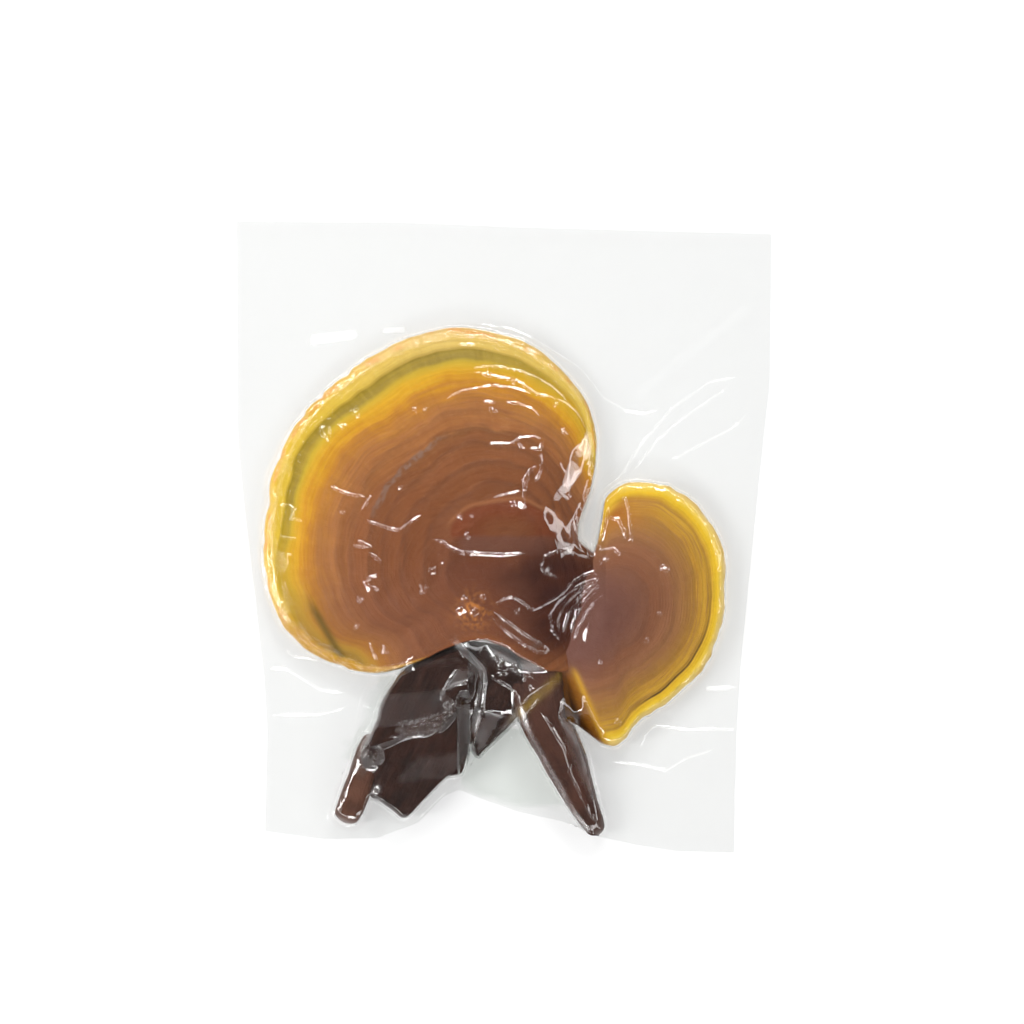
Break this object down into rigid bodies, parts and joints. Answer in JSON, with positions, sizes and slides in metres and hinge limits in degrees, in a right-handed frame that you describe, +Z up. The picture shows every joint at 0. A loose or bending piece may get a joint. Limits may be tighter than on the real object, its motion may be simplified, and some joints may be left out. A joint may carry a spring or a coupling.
{
  "type": "vacuum-packed reishi mushroom",
  "caption": "Reishi mushroom with a large and a small fused cap on dark forked stems, sealed in a clear vacuum bag of two films.",
  "frame": {"origin": "on the surface that the pack lies on, under the middle of the bag", "axes": "+Z up from the back film to the front film, +Y along the bag towards its open end, +X across the bag to the small cap's side"},
  "size_m": [0.2, 0.236, 0.0259],
  "materials": {
    "lacquered_cap": "glossy natural lacquer, brown zones with a yellow margin",
    "dark_stem": "dark, satin bark-like skin",
    "clear_film": "clear, glossy vacuum film"
  },
  "bodies": {
    "root": {"large_cap": "lacquered_cap", "small_cap": "lacquered_cap", "main_stem": "dark_stem", "side_stem": "dark_stem", "stem_spur": "dark_stem", "front_film": "clear_film", "back_film": "clear_film"}
  },
  "joints": []
}
